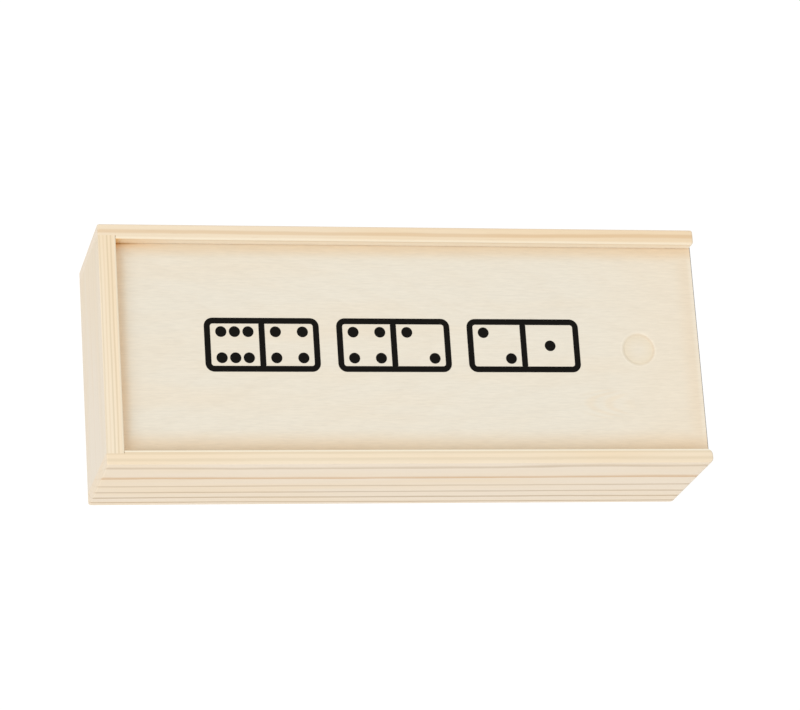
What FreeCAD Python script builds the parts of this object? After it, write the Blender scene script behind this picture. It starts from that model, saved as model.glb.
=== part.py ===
import FreeCAD, Part

import math
import os

# A wooden domino box: four pine boards, a plywood bottom and a plywood lid that slides out of its
# grooves along +X, with the 28 tiles of a double-six set lying inside in five stacks.
# Millimetres. Origin: centre of the box on the plane it rests on. +X points along the length to
# the open end, +Y to the rear board, +Z up.

# ---- driving dimensions ------------------------------------------------------------------------
LENGTH = 180.0              # outside, along X
WIDTH = 73.0                # outside, along Y
HEIGHT = 42.0               # outside, along Z

SIDE_THICK = 4.5            # long boards
END_THICK = 5.4             # short boards
HOUSING = 1.0               # how far the short boards are let into the long ones
OPEN_END_INSET = 1.5        # outer face of the low end board, behind the long boards' ends

LID_THICK = 3.0
LID_BELOW_RIM = 4.0         # rim of the box down to the lid's top face
LID_UNDER_GAP = 0.1         # free height under the lid in its groove
LID_OVER_GAP = 0.2          # free height over the lid in its groove
LID_EDGE_GAP = 0.25         # free width on each side of the lid, at the groove's bottom
LID_GROOVE = 2.2            # groove's depth into the long boards
LID_END_TONGUE = 2.0        # how far the lid reaches into the closed end
LID_END_GAP = 0.4           # free length before the lid, at the bottom of the closed end's groove

RECESS_RADIUS = 5.25        # finger recess in the lid, at the lid's face
RECESS_FLOOR_RADIUS = 4.2
RECESS_DEPTH = 0.5
RECESS_FLOOR_ROUND = 0.3
RECESS_RIM_ROUND = 0.3
RECESS_FROM_END = 18.8      # its centre, from the lid's right end

BOTTOM_THICK = 3.0
BOTTOM_GROOVE = 2.0         # groove's depth, all round
BOTTOM_ABOVE_BASE = 1.5     # underside of the panel above the resting plane

ROUND_EDGE = 0.5            # rounding of the boards' free long edges
ROUND_FRONT_END = 1.8       # rounding in plan of the front board's open end
ROUND_REAR_END = 0.8        # and of the rear board's, which is sanded less
ROUND_CORNER = 0.8          # rounding in plan of the box's closed corners
ROUND_PLY = 0.25            # rounding of the lid's edges

TILE_LENGTH = 62.0          # along Y in the box
TILE_WIDTH = 31.0           # along X in the box
TILE_THICK = 5.0
TILE_ROUND = 0.8
PIP_RADIUS = 2.3            # at the tile's face
PIP_DEPTH = 0.7
PIP_PITCH = 8.2
DIVIDER_WIDTH = 1.0         # round-ended groove between a tile's two halves
DIVIDER_LENGTH = 25.0
DIVIDER_DEPTH = 0.4

MOST_PIPS = 6               # a double-six set
STACKS = (6, 6, 6, 5, 5)    # tiles in each stack, from the closed end to the open end
PILE_STEP = 11              # step through the set from one tile of the pile to the next
TILE_SHIFT = 0.3            # largest sideways shift of a tile in its stack
TILE_TURN = 0.5             # largest turn of a tile in its stack, in degrees

# ---- levels and edges that follow from them ----------------------------------------------------
LEFT, RIGHT = -LENGTH / 2, LENGTH / 2
OUTER_Y = WIDTH / 2
INNER_Y = OUTER_Y - SIDE_THICK              # inner faces of the long boards
HOUSED_Y = INNER_Y + HOUSING                # ends of the short boards
CLOSED_INNER = LEFT + END_THICK             # inner face of the closed end
OPEN_OUTER = RIGHT - OPEN_END_INSET
OPEN_INNER = OPEN_OUTER - END_THICK         # inner face of the open end

LID_TOP = HEIGHT - LID_BELOW_RIM
LID_UNDER = LID_TOP - LID_THICK
GROOVE_LOW = LID_UNDER - LID_UNDER_GAP
GROOVE_HIGH = LID_TOP + LID_OVER_GAP
GROOVE_Y = INNER_Y + LID_GROOVE
LID_LEFT = CLOSED_INNER - LID_END_TONGUE
GROOVE_LEFT = LID_LEFT - LID_END_GAP

PANEL_LEFT = CLOSED_INNER - BOTTOM_GROOVE
PANEL_RIGHT = OPEN_INNER + BOTTOM_GROOVE
PANEL_Y = INNER_Y + BOTTOM_GROOVE
FLOOR = BOTTOM_ABOVE_BASE + BOTTOM_THICK    # the tiles stand on this level

TOUCH = 1e-3                # an edge this near to a plane lies in it


# ---- helpers -----------------------------------------------------------------------------------
def block(low, high):
    """A box from its lowest corner to its highest corner."""
    size = [b - a for a, b in zip(low, high)]
    return Part.makeBox(*size, FreeCAD.Vector(*low))


def edges_at(shape, x=None, y=None, z=None):
    """The edges that lie wholly in each plane that is given."""
    found = []
    for edge in shape.Edges:
        span = edge.BoundBox
        spans = ((x, span.XMin, span.XMax), (y, span.YMin, span.YMax), (z, span.ZMin, span.ZMax))
        if all(at is None or max(abs(low - at), abs(high - at)) < TOUCH for at, low, high in spans):
            found.append(edge)
    return found


def lid_groove():
    """The space that the three grooves leave for the lid, open at the right end."""
    return block((GROOVE_LEFT, -GROOVE_Y, GROOVE_LOW), (RIGHT + 1, GROOVE_Y, GROOVE_HIGH))


def panel_groove():
    """The space that the four grooves leave for the bottom panel, which fills it."""
    return block((PANEL_LEFT, -PANEL_Y, BOTTOM_ABOVE_BASE), (PANEL_RIGHT, PANEL_Y, FLOOR))


# ---- boards and panels -------------------------------------------------------------------------
def closed_end_blank():
    return block((LEFT, -HOUSED_Y, 0), (CLOSED_INNER, HOUSED_Y, HEIGHT))


def open_end_blank():
    return block((OPEN_INNER, -HOUSED_Y, 0), (OPEN_OUTER, HOUSED_Y, GROOVE_LOW))


def long_board(round_end):
    """The rear board, grooved for lid and bottom, and housed for both short boards. Its open end is
    rounded in plan."""
    board = block((LEFT, INNER_Y, 0), (RIGHT, OUTER_Y, HEIGHT))
    end_corners = edges_at(board, x=RIGHT, y=INNER_Y) + edges_at(board, x=RIGHT, y=OUTER_Y)
    board = board.makeFillet(round_end, end_corners)
    board = board.makeFillet(ROUND_CORNER, edges_at(board, x=LEFT, y=OUTER_Y))
    board = board.makeFillet(ROUND_EDGE, edges_at(board, z=HEIGHT) + edges_at(board, z=0))
    return board.cut([lid_groove(), panel_groove(), closed_end_blank(), open_end_blank()])


def rear_side():
    return long_board(ROUND_REAR_END)


def front_side():
    """A mirror image of the rear board, apart from its rounder open end."""
    return long_board(ROUND_FRONT_END).mirror(FreeCAD.Vector(0, 0, 0), FreeCAD.Vector(0, 1, 0))


def with_long_edges_rounded(board):
    """A short board's four edges along Y, rounded."""
    span = board.BoundBox
    corners = [(x, z) for x in (span.XMin, span.XMax) for z in (span.ZMin, span.ZMax)]
    return board.makeFillet(ROUND_EDGE, [e for x, z in corners for e in edges_at(board, x=x, z=z)])


def closed_end():
    """The full-height short board. Its groove takes the lid's tongue."""
    return with_long_edges_rounded(closed_end_blank()).cut([lid_groove(), panel_groove()])


def open_end():
    """The low short board, which the lid slides over."""
    return with_long_edges_rounded(open_end_blank()).cut(panel_groove())


def bottom_panel():
    return panel_groove()


def finger_recess():
    """A shallow round recess with a sloping wall, which meets the flat floor in a small curve."""
    centre = FreeCAD.Vector(RIGHT - RECESS_FROM_END, 0, LID_TOP - RECESS_DEPTH)
    slope = RECESS_RADIUS - RECESS_FLOOR_RADIUS
    tool = Part.makeCone(RECESS_FLOOR_RADIUS, RECESS_RADIUS + slope, 2 * RECESS_DEPTH, centre)
    return tool.makeFillet(RECESS_FLOOR_ROUND, edges_at(tool, z=centre.z))


def lid_panel():
    half_width = GROOVE_Y - LID_EDGE_GAP
    lid = block((LID_LEFT, -half_width, LID_UNDER), (RIGHT, half_width, LID_TOP))
    lid = lid.makeFillet(ROUND_PLY, lid.Edges).cut(finger_recess())
    rim = [edge for edge in edges_at(lid, z=LID_TOP) if edge.isClosed()]
    return lid.makeFillet(RECESS_RIM_ROUND, rim)


# ---- tiles -------------------------------------------------------------------------------------
def pip_spots(count):
    """Where one half's pips go, as steps across and along the tile from the half's centre."""
    spots = []
    if count % 2:
        spots += [(0, 0)]
    if count >= 2:
        spots += [(-1, 1), (1, -1)]
    if count >= 4:
        spots += [(-1, -1), (1, 1)]
    if count >= 6:
        spots += [(-1, 0), (1, 0)]
    return spots


def pip_cutter(x, y):
    """A ball that leaves a shallow dimple in a face at z = TILE_THICK."""
    radius = (PIP_RADIUS ** 2 + PIP_DEPTH ** 2) / (2 * PIP_DEPTH)
    return Part.makeSphere(radius, FreeCAD.Vector(x, y, TILE_THICK - PIP_DEPTH + radius))


def divider_cutter():
    """A bar with round ends across the middle of a tile."""
    low, high = TILE_THICK - DIVIDER_DEPTH, TILE_THICK + 1
    reach, half = (DIVIDER_LENGTH - DIVIDER_WIDTH) / 2, DIVIDER_WIDTH / 2
    bar = block((-reach, -half, low), (reach, half, high))
    ends = [Part.makeCylinder(half, high - low, FreeCAD.Vector(x, 0, low)) for x in (-reach, reach)]
    return bar.fuse(ends).removeSplitter()


def tile(first, second):
    """A tile face up on z = 0. The first half, with that many pips, points along +Y."""
    low = (-TILE_WIDTH / 2, -TILE_LENGTH / 2, 0)
    high = (TILE_WIDTH / 2, TILE_LENGTH / 2, TILE_THICK)
    body = block(low, high)
    body = body.makeFillet(TILE_ROUND, body.Edges)
    cutters = [divider_cutter()]
    for count, way in ((first, 1), (second, -1)):
        for across, along in pip_spots(count):
            x = way * across * PIP_PITCH
            y = way * (TILE_LENGTH / 4 + along * PIP_PITCH)
            cutters.append(pip_cutter(x, y))
    return body.cut(cutters)


def pile_places():
    """Each tile's stack and level, stack by stack from the closed end."""
    return [(stack, level) for stack, height in enumerate(STACKS) for level in range(height)]


def laid(shape, number, stack, level):
    """The tile in its stack, a little out of line with the others as hand-packed tiles are."""
    gap = (OPEN_INNER - CLOSED_INNER - len(STACKS) * TILE_WIDTH) / (len(STACKS) + 1)
    x = CLOSED_INNER + gap + TILE_WIDTH / 2 + stack * (TILE_WIDTH + gap)
    shift_x = TILE_SHIFT * math.sin(2.4 * number)
    shift_y = TILE_SHIFT * math.sin(1.7 * number + 1)
    turn = TILE_TURN * math.sin(3.1 * number + 2) + (180 if number % 2 else 0)
    spin = FreeCAD.Rotation(FreeCAD.Vector(0, 0, 1), turn)
    spot = FreeCAD.Vector(x + shift_x, shift_y, FLOOR + level * TILE_THICK)
    shape.Placement = FreeCAD.Placement(spot, spin)
    return shape


def tiles():
    """The whole set, by name."""
    pairs = [(a, b) for a in range(MOST_PIPS + 1) for b in range(a, MOST_PIPS + 1)]
    found = {}
    for number, (stack, level) in enumerate(pile_places()):
        first, second = pairs[number * PILE_STEP % len(pairs)]
        found[f"tile_{first}_{second}"] = laid(tile(first, second), number, stack, level)
    return found


# ---- the whole box -----------------------------------------------------------------------------
def build():
    nodes = {
        "front_side": front_side(),
        "rear_side": rear_side(),
        "closed_end": closed_end(),
        "open_end": open_end(),
        "bottom_panel": bottom_panel(),
        "lid_panel": lid_panel(),
    }
    nodes.update(tiles())
    return nodes


os.makedirs("parts", exist_ok=True)
for name, shape in build().items():
    shape.exportStep(f"parts/{name}.step")
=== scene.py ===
"""The looks of a wooden domino box: solid pine boards, veneered lid and bottom, a printed lid, and
wooden tiles with painted pips. Lengths are in metres, written as millimetres times MM."""

import math

import bmesh
import bpy
from mathutils import Matrix, Vector


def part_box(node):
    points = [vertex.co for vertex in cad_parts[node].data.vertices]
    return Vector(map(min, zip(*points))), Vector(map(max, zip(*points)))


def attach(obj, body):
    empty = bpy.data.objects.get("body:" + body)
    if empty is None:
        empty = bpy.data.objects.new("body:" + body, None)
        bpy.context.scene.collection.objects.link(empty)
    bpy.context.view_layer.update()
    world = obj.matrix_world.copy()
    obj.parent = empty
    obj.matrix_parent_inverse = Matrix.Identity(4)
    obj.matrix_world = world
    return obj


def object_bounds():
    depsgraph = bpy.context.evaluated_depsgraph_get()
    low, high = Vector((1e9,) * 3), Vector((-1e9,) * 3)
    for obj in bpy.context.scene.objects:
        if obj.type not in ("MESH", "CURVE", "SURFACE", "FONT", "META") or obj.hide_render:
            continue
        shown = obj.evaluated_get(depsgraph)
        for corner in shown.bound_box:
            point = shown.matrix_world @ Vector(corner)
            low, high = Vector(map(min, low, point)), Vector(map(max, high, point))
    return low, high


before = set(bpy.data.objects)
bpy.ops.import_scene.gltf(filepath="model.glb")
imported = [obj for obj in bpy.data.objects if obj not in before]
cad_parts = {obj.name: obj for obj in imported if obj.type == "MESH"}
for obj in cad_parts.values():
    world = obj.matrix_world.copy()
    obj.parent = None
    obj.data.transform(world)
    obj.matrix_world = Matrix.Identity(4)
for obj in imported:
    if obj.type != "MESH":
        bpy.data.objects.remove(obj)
cad_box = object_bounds()

MM = 0.001

# ---- places and sizes ----------------------------------------------------------------------------
LID_LOW, LID_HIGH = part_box("lid_panel")
CLOSED_END_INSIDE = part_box("closed_end")[1].x
FRONT_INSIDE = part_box("front_side")[1].y
REAR_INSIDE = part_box("rear_side")[0].y
OPEN_END = cad_box[1].x

CAMERA_PLACE = Vector((-225.4, -320.5, 1007.6)) * MM
CAMERA_TARGET = Vector((-1.7, -2.1, 38.3)) * MM
CAMERA_ROLL = math.radians(-3.85)
CAMERA_LENS = 160.5
CAMERA_SENSOR = 36.0
CAMERA_NEAR = 50.0 * MM

SKY_STRENGTH = 0.79
KEY_PLACE = Vector((-1500.0, -940.0, 1580.0)) * MM
KEY_TARGET = Vector((0.0, 0.0, 40.0)) * MM
KEY_SIZE = 1450.0 * MM
KEY_POWER = 16.2
FLOOR_REACH = 2500.0 * MM
FLOOR_BELOW = 0.05 * MM                      # keeps the floor clear of the box's lower edges
FLOOR_GREY = (0.15, 0.15, 0.15, 1.0)
FLOOR_GLOW = 0.90
WHITE = (1.0, 1.0, 1.0, 1.0)

PRINT_CENTRE = Vector((-3.2, 1.0)) * MM      # the printed band, on the lid
PRINT_TILE = (34.0 * MM, 16.5 * MM)
PRINT_GAP = 5.2 * MM
PRINT_STROKE = 1.8 * MM
PRINT_CORNER = 2.6 * MM
PRINT_PIP = 1.65 * MM                        # radius
PRINT_PITCH = 4.0 * MM
PRINT_BAR_CORNER = 0.2 * MM
PRINT_HIGH = 0.03 * MM                       # above the lid's face, and as much below it
PRINT_CHAIN = ((6, 4), (4, 2), (2, 1))

PILE_STEP = 11                               # from one tile to the next, in the sorted set
MOST_PIPS = 6
TILE_TURN = 0.5                              # degrees, the most that a tile lies askew
TURN_STEP = 3.1                              # radians from one tile's turn to the next one's
TURN_START = 2.0
TILE_LENGTH = 62.0 * MM
PIP_RADIUS = 2.3 * MM
PIP_DEPTH = 0.7 * MM
PIP_PITCH = 8.2 * MM
DIVIDER_WIDTH = 1.0 * MM
DIVIDER_LENGTH = 25.0 * MM
DIVIDER_DEPTH = 0.4 * MM
PAINT_THICK = 0.08 * MM
PAINT_PROUD = 0.004 * MM                     # its rim, above the tile's face
PAINT_SUNK = 0.03 * MM                       # its underside, in the wood

# ---- relief and shine ----------------------------------------------------------------------------
PINE_RELIEF = 0.025 * MM
VENEER_RELIEF = 0.02 * MM
TILE_RELIEF = 0.02 * MM
INK_RELIEF = 0.015 * MM
RAW_WOOD_SHINE = 0.3
TILE_SHINE = 0.4
FLOOR_ROUGH = 0.9
FLOOR_SHINE = 0.1


# ---- materials -----------------------------------------------------------------------------------
def linear(red, green, blue):
    """A colour given as 0 to 255 display values, in the shader's linear light."""
    def one(value):
        value /= 255
        return value / 12.92 if value <= 0.04045 else ((value + 0.055) / 1.055) ** 2.4
    return (one(red), one(green), one(blue), 1.0)


class Graph:
    """The node tree of one material. Each call adds a node and returns its output."""

    def __init__(self, name):
        self.material = bpy.data.materials.new(name)
        self.material.use_nodes = True
        self.tree = self.material.node_tree
        self.shader = self.tree.nodes["Principled BSDF"]

    def feed(self, socket, value):
        if isinstance(value, bpy.types.NodeSocket):
            self.tree.links.new(value, socket)
        else:
            socket.default_value = value

    def add(self, kind, inputs, **settings):
        node = self.tree.nodes.new(kind)
        for name, value in settings.items():
            setattr(node, name, value)
        for key, value in inputs.items():
            self.feed(node.inputs[key], value)
        return node

    def maths(self, operation, *values):
        return self.add("ShaderNodeMath", dict(enumerate(values)), operation=operation).outputs[0]

    def plus(self, a, b):
        return self.maths("ADD", a, b)

    def minus(self, a, b):
        return self.maths("SUBTRACT", a, b)

    def times(self, a, b):
        return self.maths("MULTIPLY", a, b)

    def times_plus(self, a, b, c):
        return self.maths("MULTIPLY_ADD", a, b, c)

    def over(self, a, b):
        return self.maths("DIVIDE", a, b)

    def size(self, a):
        return self.maths("ABSOLUTE", a)

    def fraction(self, a):
        return self.maths("FRACT", a)

    def largest(self, a, b):
        return self.maths("MAXIMUM", a, b)

    def smallest(self, a, b):
        return self.maths("MINIMUM", a, b)

    def floor(self, a):
        return self.maths("FLOOR", a)

    def length(self, a, b):
        """The root of the sum of their squares."""
        return self.maths("SQRT", self.plus(self.times(a, a), self.times(b, b)))

    def position(self):
        """The point on the piece at rest, in millimetres, as three outputs."""
        point = self.add("ShaderNodeTexCoord", {}).outputs["Object"]
        in_mm = self.add("ShaderNodeVectorMath", {0: point, "Scale": 1 / MM}, operation="SCALE")
        return self.add("ShaderNodeSeparateXYZ", {0: in_mm.outputs[0]}).outputs

    def facing(self):
        """The surface's outward direction on the piece at rest, as three outputs."""
        normal = self.add("ShaderNodeTexCoord", {}).outputs["Normal"]
        return self.add("ShaderNodeSeparateXYZ", {0: normal}).outputs

    def vector(self, x, y, z):
        return self.add("ShaderNodeCombineXYZ", {0: x, 1: y, 2: z}).outputs[0]

    def noise(self, point, factors, seed, detail, rough):
        """Noise of about 0 to 1 at the point, with each coordinate multiplied by its factor and
        moved along by the seed. A small factor stretches the noise in that direction."""
        parts = [self.times_plus(p, f, seed) for p, f in zip(point, factors)]
        inputs = {"Vector": self.vector(*parts), "Scale": 1.0, "Detail": detail, "Roughness": rough}
        return self.add("ShaderNodeTexNoise", inputs).outputs["Fac"]

    def blend(self, factor, first, second, kind="MIX"):
        inputs = {"Factor": factor, 6: first, 7: second}
        return self.add("ShaderNodeMix", inputs, data_type="RGBA", blend_type=kind).outputs[2]

    def tint(self, factor, colour, share):
        """The colour, with each channel multiplied by its share, as far as the factor says."""
        return self.blend(factor, colour, share, "MULTIPLY")

    def shade(self, colour, tone):
        """The colour times one number."""
        return self.tint(1.0, colour, self.vector(tone, tone, tone))

    def map(self, value, low, high, to_low=0.0, to_high=1.0, smooth=True):
        kind = "SMOOTHSTEP" if smooth else "LINEAR"
        inputs = {0: value, 1: low, 2: high, 3: to_low, 4: to_high}
        return self.add("ShaderNodeMapRange", inputs, interpolation_type=kind).outputs[0]

    def bump(self, height, depth):
        """Relief with the given depth between heights 0 and 1."""
        inputs = {"Height": height, "Distance": depth, "Strength": 1.0}
        self.feed(self.shader.inputs["Normal"], self.add("ShaderNodeBump", inputs).outputs[0])

    def finish(self, colour, roughness, shine):
        self.feed(self.shader.inputs["Base Color"], colour)
        self.feed(self.shader.inputs["Roughness"], roughness)
        self.feed(self.shader.inputs["Specular IOR Level"], shine)
        return self.material


def fibres(graph, along, across, seed):
    """Fine streaks along the grain, short flecks, and slow drifts of colour, each about 0 to 1."""
    u, v = across
    streaks = graph.noise((along, u, v), (0.035, 2.6, 2.6), seed, 3.0, 0.6)
    flecks = graph.noise((along, u, v), (0.22, 5.5, 5.5), seed + 7, 1.0, 0.5)
    drift = graph.noise((along, u, v), (0.012, 0.10, 0.10), seed + 3, 2.0, 0.5)
    return streaks, flecks, drift


RING_DARKEST = 0.93                          # where a ring is darkest, as a share of its thickness


def growth_rings(graph, along, across, pith, ring, offset, seed,
                 wobble=0.5, width=0.4, band=0.5, lean=0.0):
    """Rings around a pith that runs along the board: their late wood as crisp lines and as soft
    bands, and a random hue for each ring. wobble is how far they wander, in millimetres. width and
    band are the two kinds' shares of a ring. A leaning pith gives a flat-sawn face its pointed
    arches."""
    u = graph.minus(graph.times_plus(along, -lean, across[0]), pith[0])
    v = graph.minus(across[1], pith[1])
    radius = graph.length(u, v)
    sway = graph.noise((along, *across), (0.007, 0.05, 0.05), seed, 2.0, 0.45)
    sway = graph.map(sway, 0.0, 1.0, -wobble, wobble, smooth=False)
    ripple = graph.noise((along, *across), (0.045, 0.2, 0.2), seed + 13, 2.0, 0.6)
    sway = graph.plus(sway, graph.map(ripple, 0.0, 1.0, -0.13, 0.13, smooth=False))
    count = graph.over(graph.plus(radius, sway), ring)
    count = graph.plus(count, offset)
    part = graph.fraction(count)
    from_darkest = graph.minus(count, RING_DARKEST - 0.5)
    off_line = graph.size(graph.minus(graph.fraction(from_darkest), 0.5))
    draw = {"W": graph.plus(graph.floor(from_darkest), seed)}
    hue = graph.add("ShaderNodeTexWhiteNoise", draw, noise_dimensions="1D").outputs["Value"]
    strength = graph.fraction(graph.times(hue, 7.0))
    begin = graph.map(strength, 0.0, 1.0, 1 - 0.6 * width, 1 - 1.3 * width, smooth=False)
    weight = graph.map(strength, 0.0, 1.0, 0.35, 1.0, smooth=False)
    crisp = graph.times(graph.map(part, begin, RING_DARKEST), graph.map(part, 0.95, 1.0, 1.0, 0.0))
    soft = graph.map(off_line, 0.15 * band, 0.55 * band, 1.0, 0.0)
    lines, bands = (graph.times(shape, weight) for shape in (crisp, soft))
    return lines, bands, hue


PINE_FACE = linear(240, 225, 204)
PINE_INNER = linear(247, 233, 210)
# the painted highlight on the upper inner edge
PINE_HIGHLIGHT = linear(255, 245, 222)
LATE_TINT = linear(205, 192, 172)            # tints are shares of the wood's own colour
AMBER_TINT = linear(227, 200, 168)
EDGE_LATE_TINT = linear(238, 237, 232)
EDGE_AMBER_TINT = linear(238, 225, 209)
FACE_WARM_TINT = linear(255, 251, 243)
EDGE_WARM_TINT = linear(254, 248, 239)
CORNER_SHADE_TINT = (1.02, 0.70, 0.34, 1.0)         # painted shade in the rear corner of the closed end, in linear light
EDGE_HIGHLIGHT = 1.02                                # painted highlight: how much lighter the rounded outer edges are
END_DEPTH = 0.885                            # how much of its lightness a board's end keeps
END_FIGURE = 0.2                             # how strong its rings are


def pine(node, grain, outward, pith, ring, offset, seed, edge, face=PINE_FACE, width=0.4, band=0.5,
         figure=1.0, banding=1.0, depth=0.95, rubbed=0.5, warmer=0.0, lean=0.0, stained=0.0):
    """Sanded solid pine. grain is the axis along the board, and outward the axis and sign of its
    outer face. edge is the colour of its narrow faces, where banding is the strength of the rings.
    face is that of its outer face, where figure is their strength and depth multiplies the colour
    as a painted shade. rubbed is how strong the painted highlight on the upper inner edge
    is, stained how much of the painted shade in the closed end's rear corner its inner face
    has, and warmer how much warmer it gets in each millimetre along the board. The other values are
    those of growth_rings."""
    graph = Graph("pine_" + node)
    point = graph.position()
    facing = graph.facing()
    along = point[grain]
    across = (point[1 - grain], point[2])
    lines, bands, hue = growth_rings(graph, along, across, pith, ring, offset, seed,
                                     width=width, band=band, lean=lean)
    streaks, flecks, drift = fibres(graph, along, across, seed)
    outward_share = graph.times(facing[outward[0]], outward[1])
    end_share = graph.size(facing[grain])
    front = graph.map(outward_share, 0.3, 0.7)
    end = graph.map(end_share, 0.3, 0.7)
    inner = graph.map(outward_share, -0.9, -0.5, 1.0, 0.0)
    outside = graph.largest(front, end)

    warmth = graph.map(graph.times_plus(along, warmer, drift), 0.35, 0.7)
    pale = graph.tint(warmth, face, FACE_WARM_TINT)
    yellow = graph.tint(warmth, edge, EDGE_WARM_TINT)
    colour = graph.blend(outside, graph.blend(inner, yellow, PINE_INNER), pale)
    amber = graph.map(hue, 0.45, 0.8)
    tint = graph.blend(outside, graph.blend(amber, EDGE_LATE_TINT, EDGE_AMBER_TINT),
                       graph.blend(amber, LATE_TINT, AMBER_TINT))
    shown = graph.times(graph.map(front, 0.0, 1.0, 1.0, figure),
                        graph.map(end, 0.0, 1.0, 1.0, END_FIGURE))
    shown = graph.times(shown, graph.map(streaks, 0.3, 0.7, 0.8, 1.1, smooth=False))
    late = graph.map(outside, 0.0, 1.0, graph.times(bands, banding),
                     graph.times(lines, shown), smooth=False)
    colour = graph.tint(late, colour, tint)
    colour = graph.tint(graph.map(flecks, 0.68, 0.80, 0.0, 0.2), colour, LATE_TINT)
    tone = graph.map(streaks, 0.25, 0.75, 0.97, 1.022, smooth=False)
    # a painted highlight on the rounded outer edges
    outer = graph.map(graph.largest(outward_share, end_share), -0.3, 0.3, 1.0, EDGE_HIGHLIGHT)
    tone = graph.times(tone, rounding(graph, facing, outer))
    # painted shade on the outer face, by depth
    tone = graph.times(tone, graph.map(front, 0.0, 1.0, 1.0, depth))
    tone = graph.times(tone, graph.map(end, 0.0, 1.0, 1.0, END_DEPTH))
    colour = graph.shade(colour, tone)
    # painted shade in the closed end's rear corner, on the inner face
    if stained:
        stain = graph.times(corner_shade(graph, point), inner)
        colour = graph.tint(graph.times(stain, stained), colour, CORNER_SHADE_TINT)
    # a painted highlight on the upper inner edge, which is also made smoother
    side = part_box(node)[1 if outward[1] < 0 else 0][outward[0]] / MM
    from_inside = graph.times(graph.minus(point[outward[0]], side), outward[1])
    wear_and_highlight = graph.times(graph.map(from_inside, 0.40, 0.75, rubbed, 0.0),
                       graph.map(facing[2], 0.15, 0.5))
    colour = graph.blend(wear_and_highlight, colour, PINE_HIGHLIGHT)

    relief = graph.times_plus(bands, 0.3, graph.times(streaks, 0.7))
    graph.bump(relief, PINE_RELIEF)
    rough = graph.times_plus(late, -0.10, graph.map(streaks, 0.2, 0.8, 0.60, 0.74, smooth=False))
    rough = graph.times_plus(wear_and_highlight, -0.25, rough)
    return graph.finish(colour, rough, RAW_WOOD_SHINE)


def from_closed_end(graph, point):
    """The distance from the closed end's inner face, in millimetres."""
    return graph.minus(point[0], CLOSED_END_INSIDE / MM)


def from_rear_side(graph, point):
    """The distance from the rear board's inner face, in millimetres."""
    return graph.minus(REAR_INSIDE / MM, point[1])


def corner_shade(graph, point):
    """How much painted shade a point gets: about 1 in the rear corner of the closed end, and less
    along the rear board.
    """
    from_end = from_closed_end(graph, point)
    from_rear = from_rear_side(graph, point)
    along = graph.times(graph.map(from_end, 0.0, 18.0, 0.42, 0.0, smooth=False),
                        graph.map(from_rear, 0.2, 2.2, 1.0, 0.0))
    corner = graph.times(graph.map(from_end, 0.0, 2.4, 1.0, 0.0),
                         graph.map(from_rear, 0.2, 4.0, 0.5, 0.0))
    return graph.plus(along, corner)


def rounding(graph, facing, on_edge):
    """1 on flat faces, and another number on the rounded edges between them."""
    sizes = [graph.size(f) for f in facing]
    largest = graph.largest(graph.largest(sizes[0], sizes[1]), sizes[2])
    return graph.map(largest, 0.82, 0.985, on_edge, 1.0)


VENEER_PALE = linear(240, 232, 215)
VENEER_WARM = linear(242, 228, 205)
VENEER_DARK = linear(226, 209, 183)
VENEER_FLAME = linear(241, 217, 181)
PLY_LONG = linear(226, 207, 178)
PLY_CROSS = linear(206, 182, 150)
PLY_GLUE = linear(166, 136, 104)
PLY_DARK_ARRIS = linear(58, 48, 36)
RIM_SHADE_TINT = linear(252, 242, 230)             # painted shade along the rims; the same tint beside the open end
LID_END_BOUNCE_LIGHT = (1.06, 1.03, 1.0, 1.0)        # painted warm bounce light beside the closed end, in linear light
CRACK_DIRT_AND_SHADE_TINT = (0.72, 0.56, 0.34, 1.0)          # dirt and painted shade in the crack at the rear board, in linear light
RECESS_TINT = linear(254, 251, 245)          # on the recess's floor, towards its wall
FOOT_SHADE_TINT = (0.92, 0.89, 0.87, 1.0)         # painted shade at the foot of the recess's wall, in linear light
# these are in millimetres, like every point in a material
RECESS_FROM_END = 18.8                       # the recess's centre, from the lid's open end
RECESS_FOOT = 4.65                           # radius where its wall's foot gets the most painted shade
RECESS_RIM = 5.2                             # and where its rim's painted highlight is brightest
FACE_PLY = 0.9                               # thickness of each face veneer
GLUE_LINE = 0.06
FLAME_TIP = (55.0, -17.0)                    # of the lid's small pointed figure


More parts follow.
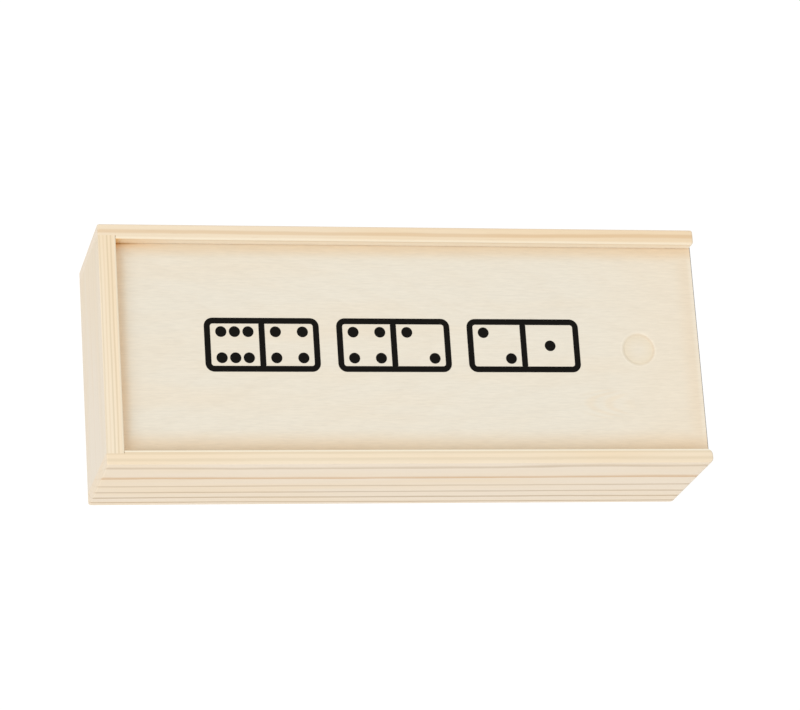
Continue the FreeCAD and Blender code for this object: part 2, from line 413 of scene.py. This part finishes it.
def plywood(name, low, high, seed, figure, flame=None, recess=None):
    """Pale rotary-cut veneer with its grain along X, and three plies showing at the edges. figure
    is the strength of its long arches, and flame the tip of a small pointed figure. A recess is
    given where the panel is the lid, whose face gets painted shade along the rims and in the
    closed end's rear corner, and painted warm bounce light beside the closed end."""
    graph = Graph(name)
    point = graph.position()
    facing = graph.facing()
    x, y, z = point
    streaks, pores, drift = fibres(graph, x, (y, z), seed)
    flecks = graph.noise(point, (0.30, 2.3, 2.3), seed + 5, 1.0, 0.6)
    # slanting rings cut by a flat face give long arches
    slope = graph.times(x, 0.05)
    side = graph.times(y, 0.115)
    bow = graph.length(side, 1.0)
    sway = graph.noise(point, (0.018, 0.06, 0.06), seed + 11, 3.0, 0.5)
    count = graph.times_plus(sway, 2.6, graph.plus(slope, bow))
    arch = graph.times(ring_line(graph, count), figure)
    to_end = graph.map(x, 45.0, high.x / MM, 0.0, 0.7)
    warmth = graph.largest(graph.map(drift, 0.4, 0.8, 0.0, 0.6), to_end)
    colour = graph.blend(warmth, VENEER_PALE, VENEER_WARM)
    colour = graph.blend(arch, colour, VENEER_DARK)
    if flame:
        colour = graph.blend(flame_figure(graph, point, flame), colour, VENEER_FLAME)
    colour = graph.blend(graph.map(pores, 0.62, 0.78, 0.0, 0.25), colour, VENEER_DARK)
    tone = graph.map(streaks, 0.25, 0.75, 0.985, 1.012, smooth=False)
    tone = graph.times(tone, graph.map(flecks, 0.25, 0.75, 0.968, 1.03, smooth=False))
    # painted shade: the lid a touch darker towards the closed end, where the lamp lights it more
    tone = graph.times(tone, graph.map(x, -75.0, -5.0, 0.99, 1.0))
    tone = graph.times(tone, graph.map(x, 40.0, 80.0, 1.0, 1.014))
    tone = graph.times(tone, graph.map(x, high.x / MM - 1.9, high.x / MM - 0.8, 1.0, 1.03))
    colour = graph.shade(colour, tone)
    if recess:
        colour = rim_shading(graph, point, colour)
        colour = recess_shading(graph, point, recess, colour)

    # edges: face veneers, a core across the grain, and a thin glue line on each side of it
    middle = (low.z + high.z) / 2 / MM
    core_half = (high.z - low.z) / 2 / MM - FACE_PLY
    from_middle = graph.size(graph.minus(z, middle))
    core = graph.map(from_middle, core_half - 0.02, core_half + 0.02, 1.0, 0.0)
    off_glue = graph.size(graph.minus(from_middle, core_half))
    edge = graph.blend(core, PLY_LONG, PLY_CROSS)
    edge = graph.blend(graph.map(off_glue, 0.0, GLUE_LINE, 1.0, 0.0), edge, PLY_GLUE)
    edge = graph.shade(edge, tone)
    on_edge = graph.map(graph.size(facing[2]), 0.4, 0.8, 1.0, 0.0)
    colour = graph.blend(on_edge, colour, edge)
    # the upper right arris is dark
    arris = graph.times(graph.map(facing[0], 0.10, 0.35), graph.map(facing[2], 0.12, 0.35))
    dark_arris = graph.times(arris, graph.map(x, high.x / MM - 0.6, high.x / MM - 0.3))
    colour = graph.blend(dark_arris, colour, PLY_DARK_ARRIS)

    relief = graph.times_plus(flecks, -0.4, graph.times(streaks, 0.6))
    graph.bump(relief, VENEER_RELIEF)
    rough = graph.map(streaks, 0.2, 0.8, 0.56, 0.68, smooth=False)
    return graph.finish(colour, rough, RAW_WOOD_SHINE)


def rim_shading(graph, point, colour):
    """The lid where it meets the rims: painted shade along them, painted warm bounce light beside
    the closed end, painted shade in that end's rear corner, and dirt with painted shade in the
    crack at the rear board."""
    from_end = from_closed_end(graph, point)
    from_rear = from_rear_side(graph, point)
    # painted shade along the rims
    colour = graph.tint(near_rims(graph, point), colour, RIM_SHADE_TINT)
    # painted warm bounce light beside the closed end
    colour = graph.tint(graph.map(from_end, 1.0, 6.0, 1.0, 0.0), colour, LID_END_BOUNCE_LIGHT)
    # painted shade in the closed end's rear corner
    colour = graph.tint(corner_shade(graph, point), colour, CORNER_SHADE_TINT)
    # dirt and painted shade in the crack at the rear board, most near the closed end
    crack_dirt_and_shade = graph.times(graph.map(from_end, 0.0, 10.0, 1.0, 0.1),
                       graph.map(from_rear, 0.15, 0.6, 1.0, 0.0))
    return graph.tint(crack_dirt_and_shade, colour, CRACK_DIRT_AND_SHADE_TINT)


def near_rims(graph, point):
    """The share of the rims' painted shade on the lid: 1 where its face meets the rims, 0.4 beside
    its open end, and 0 elsewhere.
    """
    from_front = graph.minus(point[1], FRONT_INSIDE / MM)
    reaches = ((from_closed_end(graph, point), 3.8), (from_front, 8.0),
               (from_rear_side(graph, point), 5.2))
    share = [graph.over(distance, reach) for distance, reach in reaches]
    nearest = graph.smallest(graph.smallest(share[0], share[1]), share[2])
    from_open = graph.minus(OPEN_END / MM, point[0])
    at_open = graph.times(graph.map(from_open, 0.4, 1.8), graph.map(from_open, 2.0, 7.0, 0.4, 0.0))
    return graph.largest(graph.map(nearest, 0.2, 1.0, 1.0, 0.0), at_open)


def recess_shading(graph, point, place, colour):
    """The finger recess: a floor slightly darker and yellower towards its wall, painted shade at the
    wall's foot, and a painted highlight on its rim."""
    sides = [graph.minus(point[i], place[i]) for i in (0, 1)]
    radius = graph.length(*sides)
    used = graph.times(graph.map(radius, 0.8, 4.2, smooth=False),
                       graph.map(radius, 4.6, 5.1, 1.0, 0.0))
    colour = graph.tint(used, colour, RECESS_TINT)
    from_foot = graph.size(graph.minus(radius, RECESS_FOOT))
    # the wall on this side faces the lamp, so its foot gets more painted shade and the rim less
    # painted highlight
    toward_lit_wall = graph.over(graph.times_plus(sides[1], 0.5, sides[0]), radius)
    foot_shade = graph.times(graph.map(toward_lit_wall, -0.4, 0.9, smooth=False),
                        graph.map(from_foot, 0.1, 0.6, 1.0, 0.0))
    colour = graph.tint(foot_shade, colour, FOOT_SHADE_TINT)
    # a painted highlight on the recess's rim
    from_rim = graph.size(graph.minus(radius, RECESS_RIM))
    tone = graph.map(from_rim, 0.1, 0.6, graph.map(toward_lit_wall, -1.0, 0.2, 1.06, 1.03), 1.0)
    return graph.shade(colour, tone)


def ring_line(graph, count):
    """A soft dark line before each whole number."""
    part = graph.fraction(count)
    return graph.times(graph.map(part, 0.35, 0.9), graph.map(part, 0.9, 1.0, 1.0, 0.0))


def flame_figure(graph, point, tip):
    """A soft arch that opens towards the open end, and the next one inside it."""
    u = graph.minus(point[0], tip[0])
    v = graph.minus(point[1], tip[1])
    bend = graph.noise(point, (0.10, 0.25, 0.25), 61.0, 2.0, 0.5)
    bowed = graph.times(graph.times(v, v), 0.6)
    count = graph.times(graph.minus(u, bowed), 0.16)
    count = graph.times_plus(bend, 1.0, count)
    off_arch = graph.size(graph.minus(graph.fraction(count), 0.5))
    from_middle = graph.minus(u, 5.0)
    away = graph.times_plus(graph.times(from_middle, from_middle), 0.30, graph.times(v, v))
    return graph.times(graph.map(off_arch, 0.05, 0.42, 1.0, 0.0),
                       graph.map(away, 6.0, 30.0, 0.22, 0.0))


TILE_PALE = linear(243, 227, 198)
TILE_WARM = linear(237, 213, 175)
TILE_LINE = linear(214, 180, 135)
TILE_END_TINT = linear(217, 207, 192)


def tile_wood(name):
    """Smooth beech along Y. Each tile's index number moves it to another place in the log."""
    graph = Graph(name)
    index = graph.add("ShaderNodeObjectInfo", {}).outputs["Object Index"]
    dice = graph.add("ShaderNodeTexWhiteNoise", {"W": index}, noise_dimensions="1D")
    shift = graph.times(dice.outputs["Value"], 180.0)
    x, y, z = graph.position()
    moved = graph.plus(x, shift)
    raised = graph.plus(z, graph.times(index, 9.0))
    late = growth_rings(graph, y, (moved, raised), pith=(60.0, -60.0), ring=3.4, offset=0.0,
                        seed=31.0, wobble=2.2)[0]
    streaks, flecks, drift = fibres(graph, y, (moved, raised), 5.0)
    colour = graph.blend(graph.map(drift, 0.3, 0.7), TILE_PALE, TILE_WARM)
    colour = graph.blend(graph.times(late, 0.45), colour, TILE_LINE)
    colour = graph.blend(graph.map(flecks, 0.62, 0.72, 0.0, 0.5), colour, TILE_LINE)
    tone = graph.map(dice.outputs["Value"], 0.0, 1.0, 0.93, 1.03, smooth=False)
    colour = graph.shade(colour, tone)
    end = graph.map(graph.size(graph.facing()[1]), 0.6, 0.95)
    colour = graph.tint(end, colour, TILE_END_TINT)
    graph.bump(graph.times_plus(late, 0.3, graph.times(streaks, 0.5)), TILE_RELIEF)
    rough = graph.map(streaks, 0.2, 0.8, 0.42, 0.55, smooth=False)
    return graph.finish(colour, rough, TILE_SHINE)


INK_BLACK = linear(15, 12, 8)
INK_WORN = linear(52, 45, 37)


def ink(name, rough_low, rough_high, wear_and_highlight, shine):
    """Thin black print or paint. The wood's fibres show in it as faint streaks and pinholes."""
    graph = Graph(name)
    x, y, z = graph.position()
    streaks, flecks, drift = fibres(graph, x, (y, z), 17.0)
    colour = graph.blend(graph.map(flecks, 0.66, 0.80, 0.0, wear_and_highlight), INK_BLACK, INK_WORN)
    graph.bump(streaks, INK_RELIEF)
    rough = graph.map(drift, 0.3, 0.7, rough_low, rough_high, smooth=False)
    return graph.finish(colour, rough, shine)


# ---- mesh helpers --------------------------------------------------------------------------------
def link(name, data):
    """A new object in the scene."""
    made = bpy.data.objects.new(name, data)
    bpy.context.scene.collection.objects.link(made)
    return made


def link_mesh(name, mesh, material):
    """A new object made from a bmesh, which is used up."""
    data = bpy.data.meshes.new(name)
    mesh.to_mesh(data)
    mesh.free()
    data.materials.append(material)
    return link(name, data)


def piece(name, mesh, material, body):
    """A new visible piece made from a bmesh, riding on a body."""
    bmesh.ops.recalc_face_normals(mesh, faces=mesh.faces)
    made = link_mesh(name, mesh, material)
    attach(made, body)
    return made


def round_loop(centre, half_x, half_y, corner, steps=10):
    """Points of a rounded rectangle; a circle where corner is both half sizes."""
    points = []
    for turn, (sx, sy) in enumerate(((1, 1), (-1, 1), (-1, -1), (1, -1))):
        middle = Vector((centre[0] + sx * (half_x - corner), centre[1] + sy * (half_y - corner)))
        for step in range(steps + 1):
            angle = math.pi / 2 * (turn + step / steps)
            points.append(middle + Vector((math.cos(angle), math.sin(angle))) * corner)
    return points


def add_plate(mesh, loop, low, high):
    """A flat solid with the loop as its outline."""
    bottom = [mesh.verts.new((p.x, p.y, low)) for p in loop]
    top = [mesh.verts.new((p.x, p.y, high)) for p in loop]
    mesh.faces.new(bottom[::-1])
    mesh.faces.new(top)
    for i in range(len(loop)):
        j = (i + 1) % len(loop)
        mesh.faces.new((bottom[i], bottom[j], top[j], top[i]))


def add_frame(mesh, outer, inner, low, high):
    """A flat solid between two loops with as many points."""
    levels = ((outer, low), (outer, high), (inner, high), (inner, low))
    rings = [[mesh.verts.new((p.x, p.y, z)) for p in loop] for loop, z in levels]
    for a, b in zip(rings, rings[1:] + rings[:1]):
        for i in range(len(outer)):
            j = (i + 1) % len(outer)
            mesh.faces.new((a[i], a[j], b[j], b[i]))


def pip_spots(count):
    """Where one half's pips go, as steps across and along the tile from the half's centre."""
    spots = []
    if count % 2:
        spots += [(0, 0)]
    if count >= 2:
        spots += [(-1, 1), (1, -1)]
    if count >= 4:
        spots += [(-1, -1), (1, 1)]
    if count >= 6:
        spots += [(-1, 0), (1, 0)]
    return spots


# ---- the print on the lid ------------------------------------------------------------------------
def printed_tile(name, centre, halves, material):
    """The outline of a domino lying lengthwise, with its divider and pips."""
    mesh = bmesh.new()
    low, high = LID_HIGH.z - PRINT_HIGH, LID_HIGH.z + PRINT_HIGH
    half_x, half_y = PRINT_TILE[0] / 2, PRINT_TILE[1] / 2
    outer = round_loop(centre, half_x, half_y, PRINT_CORNER)
    inner = round_loop(centre, half_x - PRINT_STROKE, half_y - PRINT_STROKE,
                       PRINT_CORNER - PRINT_STROKE)
    add_frame(mesh, outer, inner, low, high)
    bar = round_loop(centre, PRINT_STROKE / 2, half_y - PRINT_STROKE, PRINT_BAR_CORNER, steps=3)
    add_plate(mesh, bar, low, high)
    for count, way in zip(halves, (-1, 1)):
        middle = centre + Vector((way * (half_x - PRINT_STROKE / 2) / 2, 0))
        for across, along in pip_spots(count):
            spot = middle + Vector((along, across)) * PRINT_PITCH
            add_plate(mesh, round_loop(spot, PRINT_PIP, PRINT_PIP, PRINT_PIP), low, high)
    piece(name, mesh, material, "lid")


def lid_print(material):
    """A row of printed dominoes whose halves match."""
    step = PRINT_TILE[0] + PRINT_GAP
    for i, halves in enumerate(PRINT_CHAIN):
        centre = PRINT_CENTRE + Vector(((i - 1) * step, 0))
        printed_tile(f"lid_print_{i + 1}", centre, halves, material)


# ---- paint in the tiles --------------------------------------------------------------------------
def add_dimple_paint(mesh, place, spot, around=24, rings=4):
    """A thin closed shell on the floor of a pip's dimple."""
    turns = [2 * math.pi * i / around for i in range(around)]

    def shell(depth, lift):
        ball = (PIP_RADIUS ** 2 + depth ** 2) / (2 * depth)
        layers = []
        for ring in range(1, rings + 1):
            reach = PIP_RADIUS * ring / rings
            height = lift - depth + ball - math.sqrt(ball ** 2 - reach ** 2)
            circle = [(reach * math.cos(a), reach * math.sin(a)) for a in turns]
            corners = [(spot[0] + x, spot[1] + y, height) for x, y in circle]
            layers.append([mesh.verts.new(place @ Vector(c)) for c in corners])
        return mesh.verts.new(place @ Vector((spot[0], spot[1], lift - depth))), layers

    top, top_layers = shell(PIP_DEPTH - PAINT_THICK, PAINT_PROUD)
    bottom, bottom_layers = shell(PIP_DEPTH, -PAINT_SUNK)
    for i in range(around):
        j = (i + 1) % around
        mesh.faces.new((top, top_layers[0][i], top_layers[0][j]))
        mesh.faces.new((bottom, bottom_layers[0][j], bottom_layers[0][i]))
        for layers in (top_layers, bottom_layers):
            for a, b in zip(layers, layers[1:]):
                mesh.faces.new((a[i], b[i], b[j], a[j]))
        rim, foot = top_layers[-1], bottom_layers[-1]
        mesh.faces.new((rim[i], foot[i], foot[j], rim[j]))


def add_divider_paint(mesh, place):
    """A thin bar with round ends on the floor of the groove between a tile's halves."""
    start = len(mesh.verts)
    half = DIVIDER_WIDTH / 2
    bar = round_loop((0, 0), DIVIDER_LENGTH / 2, half, half)
    add_plate(mesh, bar, -DIVIDER_DEPTH, PAINT_THICK - DIVIDER_DEPTH)
    mesh.verts.ensure_lookup_table()
    for vertex in mesh.verts[start:]:
        vertex.co = place @ vertex.co


def tile_paint(name, halves, turn, material):
    """The paint in one tile's pips and divider groove."""
    low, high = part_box(name)
    centre = (low + high) / 2
    place = Matrix.Translation((centre.x, centre.y, high.z)) @ Matrix.Rotation(turn, 4, "Z")
    mesh = bmesh.new()
    add_divider_paint(mesh, place)
    for count, way in zip(halves, (1, -1)):
        for across, along in pip_spots(count):
            spot = (way * across * PIP_PITCH, way * (TILE_LENGTH / 4 + along * PIP_PITCH))
            add_dimple_paint(mesh, place, spot)
    painted = piece(name + "_paint", mesh, material, "box")
    for face in painted.data.polygons:
        face.use_smooth = True


def tiles(wood, paint):
    """The tiles' looks, in the order in which they are piled."""
    pairs = [(a, b) for a in range(MOST_PIPS + 1) for b in range(a, MOST_PIPS + 1)]
    for number in range(len(pairs)):
        halves = pairs[number * PILE_STEP % len(pairs)]
        name = f"tile_{halves[0]}_{halves[1]}"
        turn = TILE_TURN * math.sin(TURN_STEP * number + TURN_START) + (180 if number % 2 else 0)
        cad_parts[name].pass_index = number + 1
        dress(name, wood)
        tile_paint(name, halves, math.radians(turn), paint)


def dress(node, material):
    """Gives a CAD node its material."""
    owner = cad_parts[node]
    if not owner.material_slots:
        owner.data.materials.append(material)
    for slot in owner.material_slots:
        slot.link = "OBJECT"
        slot.material = material


def board(node, **looks):
    """Gives a board a pine of its own."""
    dress(node, pine(node, **looks))


# ---- stage, light and camera ---------------------------------------------------------------------
def floor():
    """The studio floor, which glows, so that it looks white and the box's shadow stays faint."""
    mesh = bmesh.new()
    ways = ((-1, -1), (1, -1), (1, 1), (-1, 1))
    places = [(x * FLOOR_REACH, y * FLOOR_REACH, -FLOOR_BELOW) for x, y in ways]
    mesh.faces.new([mesh.verts.new(place) for place in places])
    graph = Graph("studio_floor")
    graph.finish(FLOOR_GREY, FLOOR_ROUGH, FLOOR_SHINE)
    graph.feed(graph.shader.inputs["Emission Color"], WHITE)
    graph.feed(graph.shader.inputs["Emission Strength"], FLOOR_GLOW)
    made = link_mesh("studio_floor", mesh, graph.material)


def key_light():
    """A large soft lamp to the left of the box, in front of it and above it."""
    data = bpy.data.lights.new("key_light", "AREA")
    data.shape = "DISK"
    data.size = KEY_SIZE
    data.energy = KEY_POWER
    lamp = link("key_light", data)
    lamp.location = KEY_PLACE
    lamp.rotation_euler = (KEY_TARGET - KEY_PLACE).to_track_quat("-Z", "Y").to_euler()


def sky():
    """White light from all around."""
    world = bpy.data.worlds.new("studio")
    world.use_nodes = True
    background = world.node_tree.nodes["Background"]
    background.inputs["Color"].default_value = WHITE
    background.inputs["Strength"].default_value = SKY_STRENGTH
    bpy.context.scene.world = world


def camera():
    """The camera, rolled about its own axis after it is levelled."""
    data = bpy.data.cameras.new("camera")
    data.lens = CAMERA_LENS
    data.sensor_width = CAMERA_SENSOR
    data.clip_start = CAMERA_NEAR
    made = link("camera", data)
    forward = (CAMERA_TARGET - CAMERA_PLACE).normalized()
    right = forward.cross(Vector((0, 1, 0))).normalized()
    up = right.cross(forward)
    level = Matrix((right, up, -forward)).transposed().to_4x4()
    made.matrix_world = Matrix.Translation(CAMERA_PLACE) @ level @ Matrix.Rotation(CAMERA_ROLL, 4, "Z")
    bpy.context.scene.camera = made


# ---- the scene -----------------------------------------------------------------------------------
board("front_side", grain=0, outward=(1, -1), pith=(84.05, 56.35), ring=2.032, offset=0.94,
      seed=1424.0, edge=linear(248, 231, 204), width=0.27, band=0.6, rubbed=1.0, warmer=-0.0012)
board("rear_side", grain=0, outward=(1, 1), pith=(60.0, -14.0), ring=3.6, offset=27.83,
      seed=26.5, edge=linear(247, 228, 199), width=0.22, band=0.175, figure=0.8, banding=0.7,
      rubbed=0.4, warmer=0.0045, stained=1.0)
# the closed end's outer face keeps only END_DEPTH of its lightness, as painted shade, since the lamp
# lights that face most
board("closed_end", grain=1, outward=(0, -1), pith=(60.0, -40.0), ring=0.961, offset=0.544,
      seed=57.0, edge=linear(250, 234, 208), face=linear(237, 225, 207), band=0.6, figure=0.25,
      depth=END_DEPTH, warmer=0.004)
board("open_end", grain=1, outward=(0, 1), pith=(72.0, 24.0), ring=2.8, offset=0.10,
      seed=34.0, edge=linear(248, 230, 200), width=0.34, figure=0.6, lean=0.14)
recess = (OPEN_END / MM - RECESS_FROM_END, 0.0)
dress("lid_panel", plywood("lid_veneer", LID_LOW, LID_HIGH, seed=2.0, figure=0.06,
                           flame=FLAME_TIP, recess=recess))
dress("bottom_panel", plywood("bottom_veneer", *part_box("bottom_panel"), seed=40.0, figure=0.4))
lid_print(ink("print_ink", rough_low=0.50, rough_high=0.62, wear_and_highlight=0.5, shine=0.1))
tiles(tile_wood("tile_beech"),
      ink("pip_paint", rough_low=0.34, rough_high=0.46, wear_and_highlight=0.15, shine=0.35))

floor()
sky()
key_light()
camera()
bpy.context.scene.view_settings.view_transform = "Standard"
